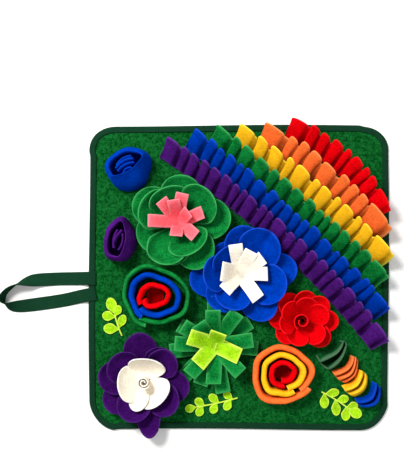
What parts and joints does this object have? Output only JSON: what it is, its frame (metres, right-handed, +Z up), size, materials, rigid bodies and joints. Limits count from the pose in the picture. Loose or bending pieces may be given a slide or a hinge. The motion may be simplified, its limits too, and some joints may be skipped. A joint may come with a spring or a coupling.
{
  "type": "snuffle mat",
  "caption": "Square fleece snuffle mat with felt ruffles, flowers, rolled roses, buds and pockets sewn on, a bound edge and a carry strap.",
  "frame": {"origin": "centre of the square mat's underside, on the surface it lies on", "axes": "+Z up from the surface; -X towards the carry strap, +Y towards the edge where the ruffles begin"},
  "size_m": [0.6429, 0.5138, 0.043],
  "materials": {
    "fleece": "short brushed fleece nap, dark leaf green, matt",
    "binding": "flat woven tape and webbing, dark bottle green, fine twill",
    "felt_purple": "soft craft felt, deep purple, matt",
    "felt_blue": "soft craft felt, royal blue, matt",
    "felt_green": "soft craft felt, grass green with paler cut edges, matt",
    "felt_yellow": "soft craft felt, warm yellow, matt",
    "felt_orange": "soft craft felt, light orange, matt",
    "felt_red": "soft craft felt, bright red, matt",
    "felt_pink": "soft craft felt, coral pink, matt",
    "felt_cream": "soft craft felt, warm cream, matt",
    "felt_lime": "soft craft felt, lime green with pale cut edges, matt"
  },
  "bodies": {
    "root": {"mat_panel": "fleece", "edge_binding": "binding", "carry_strap": "binding", "ruffle_purple": "felt_purple", "ruffle_blue": "felt_blue", "ruffle_green": "felt_green", "ruffle_yellow": "felt_yellow", "ruffle_orange": "felt_orange", "ruffle_red": "felt_red", "green_flower_lower": "felt_green", "green_flower_upper": "felt_green", "blue_flower_lower": "felt_blue", "blue_flower_upper": "felt_blue", "red_flower_lower": "felt_red", "red_flower_upper": "felt_red", "purple_flower_lower": "felt_purple", "purple_flower_upper": "felt_purple", "cream_petals": "felt_cream", "fringe_lower": "felt_green", "fringe_upper": "felt_green", "pink_tuft": "felt_pink", "cream_tuft": "felt_cream", "lime_tuft": "felt_lime", "rose_green": "felt_green", "rose_blue": "felt_blue", "rose_red": "felt_red", "sunset_orange": "felt_orange", "sunset_yellow": "felt_yellow", "sunset_red": "felt_red", "cream_roll": "felt_cream", "red_flower_bud": "felt_red", "bud_blue_cup": "felt_blue", "bud_blue_fold": "felt_blue", "bud_purple_cup": "felt_purple", "bud_purple_fold": "felt_purple", "pocket_green": "felt_green", "pocket_orange": "felt_orange", "pocket_yellow": "felt_yellow", "pocket_blue": "felt_blue", "sprig_left": "felt_lime", "sprig_bottom": "felt_lime", "sprig_right": "felt_lime"}
  },
  "joints": []
}
